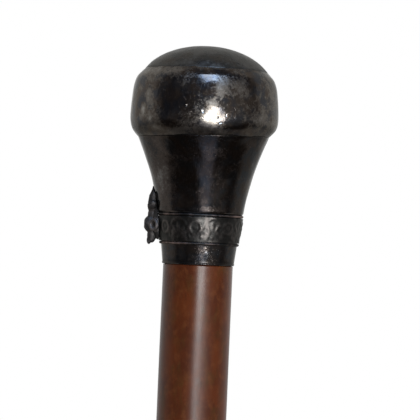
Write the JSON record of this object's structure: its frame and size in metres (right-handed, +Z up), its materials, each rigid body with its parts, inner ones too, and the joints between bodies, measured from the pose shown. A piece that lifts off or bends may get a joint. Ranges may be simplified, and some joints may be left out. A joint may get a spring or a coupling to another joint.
{
  "type": "walking stick",
  "caption": "Straight walking stick with a domed, flared metal knob, a relief band with an applied ornament, a plain collar, a tapered cane shaft and a metal ferrule.",
  "frame": {"origin": "middle of the ferrule tip's ground face", "axes": "+Z up along the stick towards the knob; -Y is the front; the applied ornament faces -X"},
  "size_m": [0.0448, 0.0448, 0.9],
  "materials": {
    "tarnished_silver": "silver plate, dark with tarnish, worn brighter at edges and seams, glossy",
    "worn_silver": "cast and stamped silver, black tarnish in the hollows, pinkish wear on the high parts",
    "malacca": "red-brown varnished cane, softly mottled, semi-gloss",
    "plain_wood": "bare turned hardwood",
    "filling": "hard dark pitch and resin filling",
    "brass": "dull aged brass with fine scratches",
    "steel": "worn steel, scuffed by the ground"
  },
  "bodies": {
    "root": {"knob_cap": "tarnished_silver", "knob_belly": "tarnished_silver", "knob_neck": "tarnished_silver", "upper_edge_wire": "worn_silver", "collar_band": "worn_silver", "lower_edge_wire": "worn_silver", "cartouche": "worn_silver", "knob_filling": "filling", "knob_dowel": "plain_wood", "shaft": "malacca", "ferrule_sleeve": "brass", "ferrule_tip": "steel", "ferrule_pin_front": "brass", "ferrule_pin_back": "brass"}
  },
  "joints": []
}
